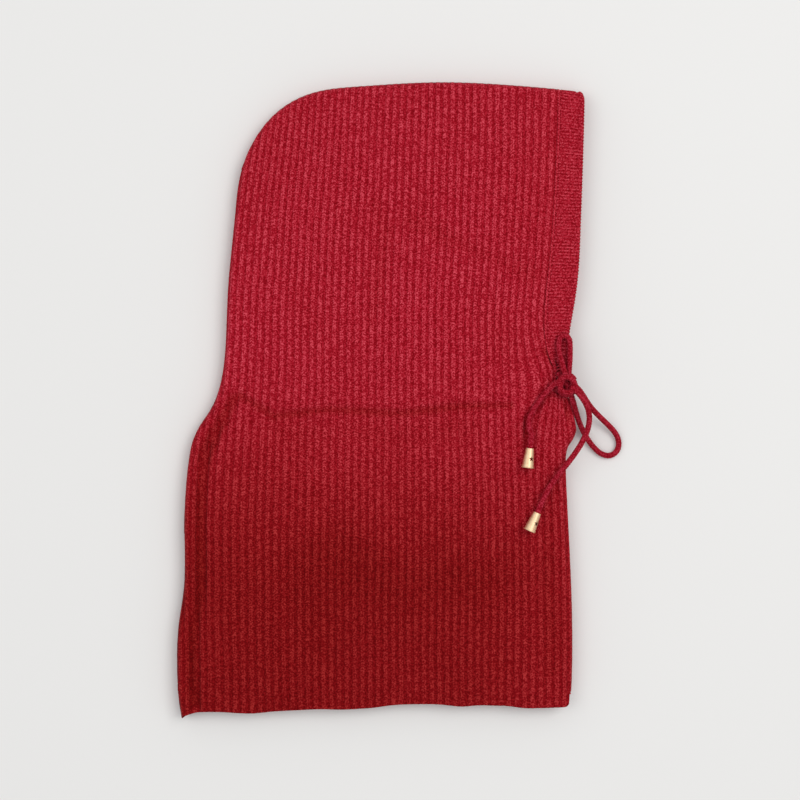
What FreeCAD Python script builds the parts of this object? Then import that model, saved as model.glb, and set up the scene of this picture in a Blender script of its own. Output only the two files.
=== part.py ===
"""Hooded rib-knit snood with a drawcord, lying flat on its left side.

The hood and neck are two rib-knit side panels, joined over the crown, down the back and down the front
of the neck.  A folded band round the face opening holds a drawcord, tied in a bow under the chin, with
a pierced metal bell on each end.

Row frame, millimetres: +X to the face opening, +Y to the crown, +Z up from the surface it lies on.
The origin is under the middle of the knit body.
"""
import FreeCAD, Part
import math
import os

Vector = FreeCAD.Vector

# ---- driving dimensions ---------------------------------------------------------------------------
KNIT = 3.0                 # thickness of one layer of rib knit
CORD = 4.0                 # diameter of the knitted drawcord
BAND_WALL = 0.8            # knit over the cord, at the band's folded edge
TUNNEL_CLEARANCE = 0.2     # round the cord in the band
MOUTH_GAP = 4.6            # between the two runs of the face band
SEAM = 0.8                 # width of a linked seam
EDGE_ROUND = 5.0           # round of the closed edges

BELL_LENGTH = 13.8
BELL_TOP_RADIUS = 2.8      # at the cord's way in
BELL_MOUTH_RADIUS = 4.3
BELL_WALL = 0.5
BELL_BORE_RADIUS = 2.3
BELL_THROAT = 1.6          # length of the bore
BELL_RIM = 0.35            # radius of the rolled rim
STAR_RADIUS = 2.1
STAR_WAIST = 0.42          # radius between its points, as a share of the radius at them
STAR_DOWN = 0.53           # how far down the bell the star is, as a share of its length
STOP_KNOT_RADIUS = 3.0
STOP_KNOT_AT = 10.4        # middle of the stop knot, from the bell's top
STRAIGHT_SPARE = 1.5       # straight cord past the end of a bell's travel
UPPER_BELL_TRAVEL = 8.0
LOWER_BELL_TRAVEL = 12.0

# ---- sizes worked out from them -------------------------------------------------------------------
BULGE = CORD + 2 * BAND_WALL               # thickness of the band where it holds the cord
THICKNESS = 2 * BULGE + MOUTH_GAP          # whole knit body, lying flat
MIDDLE = THICKNESS / 2
ON_TOP = THICKNESS + CORD / 2 + 0.15       # middle of a cord that lies on the knit
ON_FLOOR = CORD / 2 + 0.1                  # middle of a cord that lies on the surface underneath
BELL_AXIS = THICKNESS + BELL_MOUTH_RADIUS + BELL_RIM + 0.15
UPPER_RUN = THICKNESS - BULGE / 2          # middle of the cord in the band's upper run
LOWER_RUN = BULGE / 2

PAST = 300.0               # well past every edge of the snood
PAST_HEM = -235.0
PAST_FACE = 160.0
MOUTH_LOW = 24.0           # y at which the face opening begins, inside
MOUTH_CORNER_X = 122.0     # where the room inside turns from the neck into the face opening
BAND_TOE = (130.0, 21.0)   # corner of the band's end, above the chin
OPEN_FRONT_FROM = 30.0     # y at which the front's seam has ended and the face is open
BULGE_FROM = 27.0          # y at which the band's bulge begins, above the knot
FRONT_HALF_FROM = 60.0     # x past which a closed edge is the front's and not the back's

# ---- outline of the knit body ---------------------------------------------------------------------
CROWN_AND_BACK = [
    (140.5, 218.6), (91, 223.0), (42, 225.0), (-16, 222.0), (-48, 217.5), (-72, 205.0), (-89, 185.0),
    (-98.5, 163.0), (-103.5, 128.0), (-108.5, 75.0), (-112.6, 15.0), (-119.3, -5.5), (-130.3, -22.3),
    (-136.2, -45.0), (-139.2, -95.0), (-139.5, -136.0), (-143.2, -160.0), (-144.4, -188.0),
    (-143.2, -212.0), (-141.0, -225.0),
]
HEM = [
    (-141.0, -225.0), (-134.0, -222.3), (-126.0, -221.0), (-98.0, -221.7), (-36.0, -219.8), (35.0, -217.0),
    (81.0, -218.0), (130.0, -217.3),
]
HEM_CORNER = [(130.0, -217.3), (133.5, -215.8), (134.9, -212.0)]
FRONT_OF_NECK = [
    (134.9, -212.0), (136.0, -167.0), (134.9, -125.0), (131.8, -62.0), (131.3, -44.0), (132.8, -34.0),
    (137.2, -27.0), (138.6, -22.0), (136.2, -12.5), (133.2, -4.0), (129.8, 1.4), (127.0, 5.4),
    (125.6, 10.0), (126.0, 19.0),
]
CHIN = (126.0, 19.0)
FACE_EDGE = [
    (133.3, 26.0), (133.3, 44.0), (135.4, 57.0), (139.1, 80.4), (141.4, 115.0), (142.7, 152.0),
    (143.8, 190.0), (144.4, 213.0),
]
FACE_CORNER = [(144.4, 213.0), (143.6, 217.0), (140.5, 218.6)]
BAND_SEAM_LINE = [
    (126.0, 19.0), (120.6, 29.0), (117.2, 44.0), (116.8, 60.0), (120.2, 95.0), (123.6, 141.0),
    (126.0, 190.0), (126.6, 232.0),
]

# ---- route of the cord in the band: along its fold, over the crown and back on the under side ------
FOLD_LINE = [
    (130.5, 24.0), (130.3, 34.0), (130.9, 48.0), (133.6, 66.0), (137.0, 90.0), (139.2, 130.0),
    (140.6, 172.0), (141.3, 200.0), (141.4, 215.4),
]
CHANNEL_ROUTE = (
    [(131.4, 12.6, THICKNESS + 1.8), (130.8, 18.0, UPPER_RUN + 1.2)]
    + [(x, y, UPPER_RUN) for x, y in FOLD_LINE]
    + [(x, y, LOWER_RUN) for x, y in reversed(FOLD_LINE)]
    + [(130.1, 16.2, LOWER_RUN + 0.2), (130.4, 9.6, 5.4), (130.8, 7.2, 11.2)]
    + [(131.2, 7.8, THICKNESS + 1.8)]
)

# ---- routes of the bow ----------------------------------------------------------------------------
KNOT_MIDDLE = Vector(131.4, 10.4, THICKNESS + 5.6)
KNOT_SIDES = (14.6, 16.8, 10.8)
KNOT_ROUND = 5.0
BIG_LOOP_ROUTE = [
    (133.5, 12.0, 20.4), (138.8, 8.2, 20.0), (143.2, 2.0, 18.0), (147.6, -4.6, 14.8), (153.8, -11.0, 10.4),
    (161.0, -17.4, 6.0), (167.2, -23.6, 3.3), (170.0, -30.2, ON_FLOOR), (168.8, -36.8, ON_FLOOR),
    (163.6, -40.4, ON_FLOOR), (157.4, -39.2, ON_FLOOR), (151.8, -34.4, 2.6), (147.0, -28.0, 3.4),
    (142.9, -20.6, 4.8), (139.8, -13.2, 8.0), (137.4, -6.0, 12.2), (135.2, 1.0, 16.6), (132.6, 7.4, 19.6),
]
SMALL_LOOP_ROUTE = [
    (130.2, 15.0, 23.0), (128.5, 22.4, 21.6), (126.5, 29.6, 19.4), (125.5, 36.6, ON_TOP),
    (125.7, 43.0, ON_TOP), (129.4, 45.4, ON_TOP), (133.2, 43.0, ON_TOP), (133.5, 36.6, ON_TOP),
    (133.4, 29.6, ON_TOP), (132.9, 22.4, 18.4), (132.2, 15.0, 19.8),
]
UPPER_BELL_TOP = Vector(105.1, -34.3, BELL_AXIS)
UPPER_BELL_TURN = 7.0      # degrees, lean of the bell's axis from -Y to -X
LOWER_BELL_TOP = Vector(110.2, -79.6, BELL_AXIS)
LOWER_BELL_TURN = 23.7
UPPER_STAR_TURN = 30.0     # degrees round the bell, from its highest line to +X
LOWER_STAR_TURN = 42.0
UPPER_TAIL_START = [
    (129.6, 14.2, 21.8), (124.6, 12.7, 21.0), (119.6, 8.4, 19.0), (114.0, 1.8, ON_TOP),
    (108.6, -5.2, ON_TOP), (105.0, -12.6, ON_TOP + 0.6), (104.2, -19.2, ON_TOP + 1.6),
]
LOWER_TAIL_START = [
    (133.6, 9.4, 23.2), (138.4, 5.2, 23.4), (142.8, -0.6, 23.0), (146.2, -7.0, 21.0),
    (147.3, -14.0, 18.0), (146.2, -21.0, 16.2), (143.4, -27.8, 16.0), (139.2, -34.8, 17.6),
    (134.0, -41.8, 19.8), (128.4, -48.6, 20.4), (123.0, -55.6, 19.2), (118.9, -61.6, 19.0),
]


def smooth(points):
    """A smooth flat edge through (x, y) points."""
    curve = Part.BSplineCurve()
    curve.interpolate([Vector(x, y, 0) for x, y in points])
    return curve.toShape()


def straight(points):
    """Straight flat edges from point to point."""
    ends = [Vector(x, y, 0) for x, y in points]
    return [Part.makeLine(a, b) for a, b in zip(ends, ends[1:])]


def inset(points, distance):
    """Points moved sideways, to the left of the way they run."""
    moved = []
    for i, (x, y) in enumerate(points):
        x0, y0 = points[max(i - 1, 0)]
        x1, y1 = points[min(i + 1, len(points) - 1)]
        reach = math.hypot(x1 - x0, y1 - y0)
        moved.append((x - distance * (y1 - y0) / reach, y + distance * (x1 - x0) / reach))
    return moved


def plate(edges, low, high):
    """A solid of a flat outline, from one height to another."""
    face = Part.Face(Part.Wire(Part.__sortEdges__(edges)))
    solid = face.extrude(Vector(0, 0, high - low))
    solid.translate(Vector(0, 0, low))
    return solid


def box(x0, y0, z0, x1, y1, z1):
    """A block from its lowest corner to its highest."""
    return Part.makeBox(x1 - x0, y1 - y0, z1 - z0, Vector(x0, y0, z0))


def slab(y_low, z_low, z_high, x_low=-PAST):
    """A block that reaches past the snood to its front, its crown and, unless told otherwise, its back."""
    return box(x_low, y_low, z_low, PAST, PAST, z_high)


def route_wire(points, name):
    """Straight runs joined by tangent arcs.  Each arc is as large as its two runs allow."""
    stations = [Vector(*p) for p in points]
    edges = []
    radii = []
    start = stations[0]
    for before, corner, after in zip(stations, stations[1:], stations[2:]):
        back = before - corner
        ahead = after - corner
        reach = 0.45 * min(back.Length, ahead.Length)
        half_turn = (math.pi - back.getAngle(ahead)) / 2
        radii.append(reach / math.tan(half_turn))
        arc_start = corner + back.normalize() * reach
        arc_end = corner + ahead.normalize() * reach
        inward = (back + ahead).normalize()
        to_arc = radii[-1] / math.cos(half_turn) - radii[-1]
        edges.append(Part.makeLine(start, arc_start))
        edges.append(Part.Arc(arc_start, corner + inward * to_arc, arc_end).toShape())
        start = arc_end
    edges.append(Part.makeLine(start, stations[-1]))
    wire = Part.Wire(edges)
    print(name, "radii", " ".join(f"{r:.1f}" for r in radii), f"length {wire.Length:.1f}")
    return wire


def tube(points, diameter, name):
    """A round tube along a route, with its volume compared with its section times its length."""
    wire = route_wire(points, name)
    way = Vector(*points[1]) - Vector(*points[0])
    ring = Part.Wire(Part.makeCircle(diameter / 2, Vector(*points[0]), way))
    solid = wire.makePipeShell([ring], True, False)
    expected = math.pi * diameter ** 2 / 4 * wire.Length
    print(name, f"volume {solid.Volume:.0f}, section x length {expected:.0f}, valid {solid.isValid()}")
    return solid


# ---- knit body ------------------------------------------------------------------------------------
def outer_body():
    """The whole outline, as thick as the snood lies, with its edges rounded over."""
    edges = [smooth(CROWN_AND_BACK), smooth(HEM), smooth(HEM_CORNER), smooth(FRONT_OF_NECK)]
    edges += straight([CHIN, BAND_TOE, FACE_EDGE[0]])
    edges += [smooth(FACE_EDGE)] + straight(FACE_CORNER)
    body = plate(edges, 0, THICKNESS)
    closed_sides = [smooth(CROWN_AND_BACK), smooth(FRONT_OF_NECK)]
    rounded = []
    for edge in body.Edges:
        middle = edge.valueAt((edge.FirstParameter + edge.LastParameter) / 2)
        on_a_face = min(edge.Vertexes[0].Z, THICKNESS - edge.Vertexes[0].Z) < 0.01
        flat = abs(edge.Vertexes[0].Z - edge.Vertexes[-1].Z) < 0.01
        under = Part.Vertex(middle.x, middle.y, 0)
        if flat and on_a_face and min(side.distToShape(under)[0] for side in closed_sides) < 0.01:
            rounded.append(edge)
    print("closed edges rounded:", len(rounded))
    return body.makeFillet(EDGE_ROUND, rounded)


def hollow():
    """The room inside, open at the hem and at the face."""
    back = inset(CROWN_AND_BACK, KNIT)
    front = inset(FRONT_OF_NECK[1:-1], KNIT)
    edges = [smooth(back)]
    edges += straight([back[-1], (back[-1][0], PAST_HEM), (front[0][0], PAST_HEM), front[0]])
    edges += [smooth(front)]
    edges += straight([front[-1], (MOUTH_CORNER_X, MOUTH_LOW), (PAST_FACE, MOUTH_LOW)])
    edges += straight([(PAST_FACE, MOUTH_LOW), (PAST_FACE, back[0][1]), back[0]])
    return plate(edges, KNIT, THICKNESS - KNIT)


def face_side(x_shift):
    """Everything on the face side of the band's seam line, moved sideways."""
    line = [(x + x_shift, y) for x, y in BAND_SEAM_LINE]
    top = line[-1]
    low = (line[0][0], line[0][1] - KNIT)
    edges = [smooth(line)] + straight([top, (PAST, top[1]), (PAST, low[1]), low, line[0]])
    return plate(edges, -PAST, PAST)


def knit_body():
    """The two panels, the face band and the seams, cut from one shell so that they meet face to face."""
    shell = outer_body().cut(hollow())
    band_side = face_side(SEAM / 2)
    seam_side = face_side(-SEAM / 2)
    panels = shell.cut(seam_side)
    above = slab(-PAST, MIDDLE + SEAM / 2, PAST)
    below = slab(-PAST, -PAST, MIDDLE - SEAM / 2)
    edge_seam = panels.cut(above).cut(below)
    front_half = box(FRONT_HALF_FROM, -PAST, 0, PAST, OPEN_FRONT_FROM, THICKNESS)

    tunnel = tube(CHANNEL_ROUTE, CORD + 2 * TUNNEL_CLEARANCE, "tunnel")
    fold = tube(CHANNEL_ROUTE, BULGE, "fold").common(slab(BULGE_FROM, -PAST, PAST))
    band = shell.common(band_side).fuse(fold).cut(tunnel).removeSplitter()
    return {
        "right_side_panel": panels.common(above),
        "left_side_panel": panels.common(below),
        "crown_and_back_seam": edge_seam.cut(front_half),
        "front_neck_seam": edge_seam.common(front_half),
        "face_band": band,
        "face_band_seam": shell.common(seam_side).cut(band_side),
    }


# ---- drawcord and bow -----------------------------------------------------------------------------
def rounded_block(middle, sides, radius):
    """A block with every edge and corner rounded."""
    block = Part.makeBox(*sides, middle - Vector(*sides) / 2)
    return block.makeFillet(radius, block.Edges)


def along(turn):
    """The way from a bell's cord end to its mouth."""
    angle = math.radians(turn)
    return Vector(-math.sin(angle), -math.cos(angle), 0)


def tail_route(start, bell_top, turn, travel):
    """The route of a tail: free, then straight as far as its bell slides, then through the bell."""
    way = along(turn)
    leave = bell_top - way * (travel + STRAIGHT_SPARE)
    end = bell_top + way * (STOP_KNOT_AT - 1.0)
    return start + [tuple(leave), tuple(end)]


def drawcord():
    """The cord's runs, its bow knot and its two stop knots."""
    knot = rounded_block(KNOT_MIDDLE, KNOT_SIDES, KNOT_ROUND)
    parts = {
        "bow_knot": knot,
        "drawcord_channel_run": tube(CHANNEL_ROUTE, CORD, "drawcord_channel_run"),
        "drawcord_big_loop": tube(BIG_LOOP_ROUTE, CORD, "drawcord_big_loop").cut(knot),
        "drawcord_small_loop": tube(SMALL_LOOP_ROUTE, CORD, "drawcord_small_loop").cut(knot),
    }
    tails = {
        "upper": (UPPER_TAIL_START, UPPER_BELL_TOP, UPPER_BELL_TURN, UPPER_BELL_TRAVEL),
        "lower": (LOWER_TAIL_START, LOWER_BELL_TOP, LOWER_BELL_TURN, LOWER_BELL_TRAVEL),
    }
    for side, (start, top, turn, travel) in tails.items():
        stop = Part.makeSphere(STOP_KNOT_RADIUS, top + along(turn) * STOP_KNOT_AT)
        route = tail_route(start, top, turn, travel)
        name = f"drawcord_tail_{side}"
        parts[name] = tube(route, CORD, name).cut(knot).cut(stop)
        parts[f"stop_knot_{side}"] = stop
    return parts


# ---- cord-end bells -------------------------------------------------------------------------------
def star(radius):
    """A flat five-pointed star about the origin."""
    corners = []
    for i in range(11):
        reach = radius if i % 2 == 0 else STAR_WAIST * radius
        angle = math.radians(90 + 36 * i)       # five points, and a waist half-way between each two
        corners.append(Vector(reach * math.cos(angle), reach * math.sin(angle), 0))
    return Part.Face(Part.makePolygon(corners))


def bell(top, turn, star_turn):
    """A hollow metal bell on the cord, with a rolled rim and one star pierced through its wall."""
    slope = (BELL_MOUTH_RADIUS - BELL_TOP_RADIUS) / BELL_LENGTH
    inner_mouth = BELL_MOUTH_RADIUS - BELL_WALL
    profile = [
        Vector(BELL_BORE_RADIUS, 0, 0),
        Vector(BELL_TOP_RADIUS, 0, 0),
        Vector(BELL_MOUTH_RADIUS, -BELL_LENGTH, 0),
        Vector(inner_mouth, -BELL_LENGTH, 0),
        Vector(BELL_BORE_RADIUS, -BELL_THROAT, 0),
        Vector(BELL_BORE_RADIUS, 0, 0),
    ]
    axis = Vector(0, 1, 0)
    wall = Part.Face(Part.makePolygon(profile)).revolve(Vector(0, 0, 0), axis, 360)
    rim = Part.makeTorus(BELL_MOUTH_RADIUS - 0.1, BELL_RIM, Vector(0, BELL_RIM - BELL_LENGTH, 0), axis)
    star_at = BELL_LENGTH * STAR_DOWN
    cutter = star(STAR_RADIUS).extrude(Vector(0, 0, BELL_MOUTH_RADIUS))
    cutter.translate(Vector(0, -star_at, BELL_TOP_RADIUS + slope * star_at - 3 * BELL_WALL))
    cutter.rotate(Vector(0, 0, 0), axis, star_turn)
    solid = wall.fuse(rim).cut(cutter)
    solid.rotate(Vector(0, 0, 0), Vector(0, 0, 1), -turn)
    solid.translate(top)
    return solid


def main():
    os.makedirs("parts", exist_ok=True)
    parts = knit_body()
    parts.update(drawcord())
    parts["cord_end_bell_upper"] = bell(UPPER_BELL_TOP, UPPER_BELL_TURN, UPPER_STAR_TURN)
    parts["cord_end_bell_lower"] = bell(LOWER_BELL_TOP, LOWER_BELL_TURN, LOWER_STAR_TURN)
    for name, shape in parts.items():
        b = shape.optimalBoundingBox()
        size = f"{b.XMin:.1f},{b.YMin:.1f},{b.ZMin:.1f} to {b.XMax:.1f},{b.YMax:.1f},{b.ZMax:.1f}"
        print(name, len(shape.Solids), "solid", shape.isValid(), f"{shape.Volume:.0f} mm3", size)
        shape.exportStep(f"parts/{name}.step")


main()
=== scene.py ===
# %% [markdown]
# # A knitted hood and neck warmer, finished in Blender
# The snood is a flat bag of rib knit: two panels linked together over the crown, down the back and down
# the front of the neck, with a folded band round the face that holds a knitted drawcord tied in a bow.
# The design model gives every size and place.  This script loads it as a fixed frame and makes the
# cloth, the cord and the finishes around it, so nothing has to be fitted afterwards.

# %% Load the frame
import math

import bpy
import numpy as np
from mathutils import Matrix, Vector
from mathutils.bvhtree import BVHTree


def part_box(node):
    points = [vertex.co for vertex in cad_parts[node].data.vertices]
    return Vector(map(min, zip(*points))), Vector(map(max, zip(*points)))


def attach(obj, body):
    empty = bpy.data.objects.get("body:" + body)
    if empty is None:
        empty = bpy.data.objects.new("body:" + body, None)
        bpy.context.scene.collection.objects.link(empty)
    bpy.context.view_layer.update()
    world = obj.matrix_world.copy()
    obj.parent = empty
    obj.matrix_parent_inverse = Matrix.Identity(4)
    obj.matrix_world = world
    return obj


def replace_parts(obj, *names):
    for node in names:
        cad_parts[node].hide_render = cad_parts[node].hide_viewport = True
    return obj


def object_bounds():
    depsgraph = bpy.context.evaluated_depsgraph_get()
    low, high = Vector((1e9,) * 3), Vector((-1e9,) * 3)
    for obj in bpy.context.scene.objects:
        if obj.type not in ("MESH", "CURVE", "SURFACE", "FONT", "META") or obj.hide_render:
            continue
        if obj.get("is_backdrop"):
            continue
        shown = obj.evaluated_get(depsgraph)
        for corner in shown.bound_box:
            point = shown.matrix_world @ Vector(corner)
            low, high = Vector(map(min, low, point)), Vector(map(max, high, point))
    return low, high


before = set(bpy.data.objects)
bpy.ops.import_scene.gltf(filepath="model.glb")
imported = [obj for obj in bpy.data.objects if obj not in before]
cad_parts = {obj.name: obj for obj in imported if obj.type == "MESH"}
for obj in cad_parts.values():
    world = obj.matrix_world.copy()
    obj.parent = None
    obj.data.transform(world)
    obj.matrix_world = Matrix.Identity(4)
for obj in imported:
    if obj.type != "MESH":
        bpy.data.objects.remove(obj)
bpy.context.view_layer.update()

MM = 0.001

# %% [markdown]
# ## Driving sizes
# A knitter would note the gauge first: how wide a rib is and how tall a course of stitches is.  The
# thickness of the cloth and of the cord come next.  Everything below is worked out from these and from
# the frame, in millimetres.

# %% Gauge, cloth and cord
RIB = 5.25              # one raised rib and its groove
COURSE = 1.8            # one row of stitches
RIB_RELIEF = 0.72       # depth of a groove
KNIT = 3.0              # thickness of one layer
BAND_STITCH = 2.3       # one ridge of the face band, which runs across it
BAND_RELIEF = 0.4
CORD = 4.0              # diameter of the drawcord
CORD_STITCH = 1.9
CORD_WALES = 5          # columns of stitches round the cord

panel_low, panel_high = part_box("right_side_panel")
TOP = panel_high.z / MM                 # upper surface of the knit as it lies
MIDDLE = TOP / 2
SEAM_TOP = panel_low.z / MM             # where the upper panel's closed edges meet the lower one's
print(f"knit lies {TOP:.1f} mm thick; the closed edges meet at {SEAM_TOP:.1f} mm")

# %% [markdown]
# ## The camera comes first
# The snood is looked at from straight above, as it lies.  A long lens keeps the ribs parallel from the
# middle of the view to its edges; a short one would show the sides of the near parts.

# %% Camera
VIEW_WIDTH = 566.4 * MM
VIEW_MIDDLE = Vector((13.8 * MM, -0.35 * MM, 0.010))
camera = bpy.data.objects.new("camera", bpy.data.cameras.new("camera"))
camera.data.lens = 85
camera.location = VIEW_MIDDLE + Vector((0, 0, VIEW_WIDTH * camera.data.lens / camera.data.sensor_width))
bpy.context.scene.collection.objects.link(camera)
bpy.context.scene.camera = camera
print(f"camera {camera.location.z:.2f} m up")

# %% [markdown]
# ## Reckoning with sockets
# Node trees do their sums with Math nodes, and a formula of ten terms is ten boxes.  This small class
# lets a formula be written as a formula: each sign adds one Math node.  It works the same in a material
# and in a Geometry Nodes tree, because both take the same Math node.

# %% Field algebra
class Field:
    """A socket that can be reckoned with."""

    def __init__(self, tree, socket):
        self.tree = tree
        self.socket = socket

    def math(self, operation, *others, clamp=False):
        node = self.tree.nodes.new("ShaderNodeMath")
        node.operation = operation
        node.use_clamp = clamp
        for plug, value in zip(node.inputs, (self, *others)):
            join(self.tree, value, plug)
        return Field(self.tree, node.outputs[0])

    def __add__(self, other):
        return self.math("ADD", other)

    def __sub__(self, other):
        return self.math("SUBTRACT", other)

    def __mul__(self, other):
        return self.math("MULTIPLY", other)

    def abs(self):
        return self.math("ABSOLUTE")

    def fract(self):
        return self.math("FRACT")

    def wave(self, turns=1.0):
        """A cosine from 0 to 1, at 1 where the field is whole."""
        return (self * (2 * math.pi * turns)).math("COSINE").math("MULTIPLY_ADD", 0.5, 0.5)

    def step(self, low, high):
        """0 below low, 1 above high, smooth between."""
        node = self.tree.nodes.new("ShaderNodeMapRange")
        node.interpolation_type = "SMOOTHSTEP"
        join(self.tree, self, node.inputs["Value"])
        node.inputs["From Min"].default_value = low
        node.inputs["From Max"].default_value = high
        return Field(self.tree, node.outputs["Result"])


def join(tree, value, plug):
    """Puts a number, a socket or a field into a node's input."""
    if isinstance(value, Field):
        tree.links.new(value.socket, plug)
    elif isinstance(value, bpy.types.NodeSocket):
        tree.links.new(value, plug)
    else:
        plug.default_value = value


def add_node(tree, kind, settings=None, inputs=None):
    """Adds a node, sets its choices, and fills its inputs by name."""
    node = tree.nodes.new(kind)
    for name, value in (settings or {}).items():
        setattr(node, name, value)
    for name, value in (inputs or {}).items():
        join(tree, value, node.inputs[name])
    return node


def rib_profile(field):
    """How proud the knit stands: 1 along each rib, 0 in the groove, and a rib is wider than its groove."""
    return field.wave().step(0.05, 0.80)


# %% [markdown]
# ## Yarn
# The yarn is a soft wool blend, a clear red with paler, slightly pink fibres in it.  A knitted surface
# is never one colour: light catches the tops of the stitches, the gaps between them fall into shade, and
# loose fibres blur both.  The material mixes three reds by how proud the stitch stands and by two
# scales of fibre noise, and the same mix drives the bump.  A scanned knit could be wrapped round the
# piece, but worked-out stitches stay sharp at any distance and follow each rib.

# %% Yarn materials
DEEP = (0.23, 0.0008, 0.0050, 1)
MIDTONE = (0.40, 0.0075, 0.0215, 1)
PALE = (0.66, 0.068, 0.100, 1)


def object_place(tree):
    """Object coordinates, in metres."""
    return add_node(tree, "ShaderNodeTexCoord").outputs["Object"]


def noise(tree, scale, detail=2.0, roughness=0.5):
    """Soft noise from 0 to 1, with that many features to a metre."""
    node = add_node(tree, "ShaderNodeTexNoise", inputs={
        "Vector": object_place(tree), "Scale": scale, "Detail": detail, "Roughness": roughness})
    return Field(tree, node.outputs["Fac"])


def speckle(tree, rib, course):
    """One random number from 0 to 1 for each stitch: no two stitches catch the light alike."""
    cell = add_node(tree, "ShaderNodeCombineXYZ", inputs={
        "X": (rib * 2.0 + 0.5).math("FLOOR"), "Y": course.math("FLOOR")})
    node = add_node(tree, "ShaderNodeTexWhiteNoise", {"noise_dimensions": "2D"}, {
        "Vector": cell.outputs["Vector"]})
    return Field(tree, node.outputs["Value"])


def stitches_on_cloth(tree, gap):
    """V-shaped stitches from the knit map, whose U counts ribs and whose V counts courses."""
    knit_map = add_node(tree, "ShaderNodeUVMap", {"uv_map": "knit"})
    parts = add_node(tree, "ShaderNodeSeparateXYZ", inputs={"Vector": knit_map.outputs["UV"]})
    rib = Field(tree, parts.outputs["X"])
    course = Field(tree, parts.outputs["Y"])
    leg = ((rib + 0.5).fract() - 0.5).abs()
    uneven = (noise(tree, 420.0) - 0.5) * 0.9
    beat = course + leg * 2.3 + uneven
    stitch = beat.wave()
    parting = leg.step(0.0, 0.09) * 0.25 + 0.75
    own = speckle(tree, rib, beat + 0.5)
    standing = rib_profile(rib) * 0.72 + 0.36
    return standing * (stitch * (1 - gap) + gap) * parting * (own * 0.50 + 0.70)


def stitches_from_relief(tree, gap):
    """How proud the cord's or the seam's own stitches stand, stored on the mesh when it was made."""
    relief = add_node(tree, "ShaderNodeAttribute", {"attribute_name": "relief"})
    return Field(tree, relief.outputs["Fac"]) * (1 - gap) + gap


def yarn_material(name, stitches, gap=0.3, fade=None):
    """Knitted yarn.  gap is how much of the colour is left between stitches."""
    material = bpy.data.materials.new(name)
    material.use_nodes = True
    tree = material.node_tree
    shader = tree.nodes["Principled BSDF"]
    proud = stitches(tree, gap)
    fibres = noise(tree, 1300.0, 3.0, 0.65)
    heather = noise(tree, 900.0, 1.0).step(0.36, 0.64)
    tone = proud * 0.50 + fibres * 0.30 + heather * 0.52 - 0.15
    ramp = add_node(tree, "ShaderNodeValToRGB", inputs={"Fac": tone})
    ramp.color_ramp.elements[0].position = 0.18
    ramp.color_ramp.elements[0].color = DEEP
    ramp.color_ramp.elements[1].position = 1.0
    ramp.color_ramp.elements[1].color = PALE
    ramp.color_ramp.elements.new(0.58).color = MIDTONE
    colour = ramp.outputs["Color"]
    if fade:
        colour = fade(tree, colour)
    join(tree, colour, shader.inputs["Base Color"])
    join(tree, fibres * 0.16 + 0.80, shader.inputs["Roughness"])
    shader.inputs["Specular IOR Level"].default_value = 0.06
    shader.inputs["Sheen Weight"].default_value = 0.045
    shader.inputs["Sheen Roughness"].default_value = 0.45
    shader.inputs["Sheen Tint"].default_value = (1.0, 0.55, 0.60, 1)
    bump = add_node(tree, "ShaderNodeBump", inputs={
        "Height": proud * 0.62 + fibres * 0.38, "Strength": 0.8, "Distance": 0.55 * MM})
    join(tree, bump.outputs["Normal"], shader.inputs["Normal"])
    return material


def tinted(tree, colour, shade):
    """A colour multiplied by another."""
    mixed = add_node(tree, "ShaderNodeMix", {"data_type": "RGBA", "blend_type": "MULTIPLY"})
    mixed.inputs[0].default_value = 1.0
    join(tree, colour, mixed.inputs[6])
    join(tree, shade, mixed.inputs[7])
    return mixed.outputs[2]


def a_shade_deeper(tree, colour):
    """The cord's yarn is twisted tighter than the cloth's, so it looks darker."""
    return tinted(tree, colour, (0.78, 0.62, 0.74, 1))


def painted_shade_below_and_in_folds(tree, colour):
    """Painted shade: the neck darker than the hood and lighter towards its front, and the cloth in a fold
    darker than the cloth beside it, with slow random patches.
    """
    place = add_node(tree, "ShaderNodeSeparateXYZ", inputs={"Vector": object_place(tree)})
    height = Field(tree, place.outputs["Y"]).step(-0.145, 0.03)
    front = Field(tree, place.outputs["X"]).step(0.03, 0.13)
    patches = noise(tree, 9.0, 2.0)
    fold = Field(tree, add_node(tree, "ShaderNodeAttribute", {"attribute_name": "fold"}).outputs["Fac"])
    level = height * 0.42 + 0.56 + front * (height * -0.12 + 0.12) + (patches - 0.5) * 0.16
    level = level * (fold * -0.24 + 1.0)
    shade = add_node(tree, "ShaderNodeCombineColor", inputs={
        "Red": level, "Green": level.math("POWER", 1.8), "Blue": level.math("POWER", 2.6)})
    return tinted(tree, colour, shade.outputs["Color"])


RIB_KNIT = yarn_material("red_rib_knit", stitches_on_cloth, 0.55, painted_shade_below_and_in_folds)
BAND_KNIT = yarn_material("red_band_knit", stitches_on_cloth, 0.5)
SEAM_YARN = yarn_material("red_seam_yarn", stitches_from_relief, 0.35)
CORD_YARN = yarn_material("red_cord_yarn", stitches_from_relief, 0.2, a_shade_deeper)
print("yarn materials:", [m.name for m in bpy.data.materials])

# %% [markdown]
# ## Two ways into Geometry Nodes
# A tree is written once, with named inputs for its sizes, and used on several pieces.  `run_tree` hangs
# it on a piece, sets the inputs, bakes the result to a plain mesh and takes the modifier away again.

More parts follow.
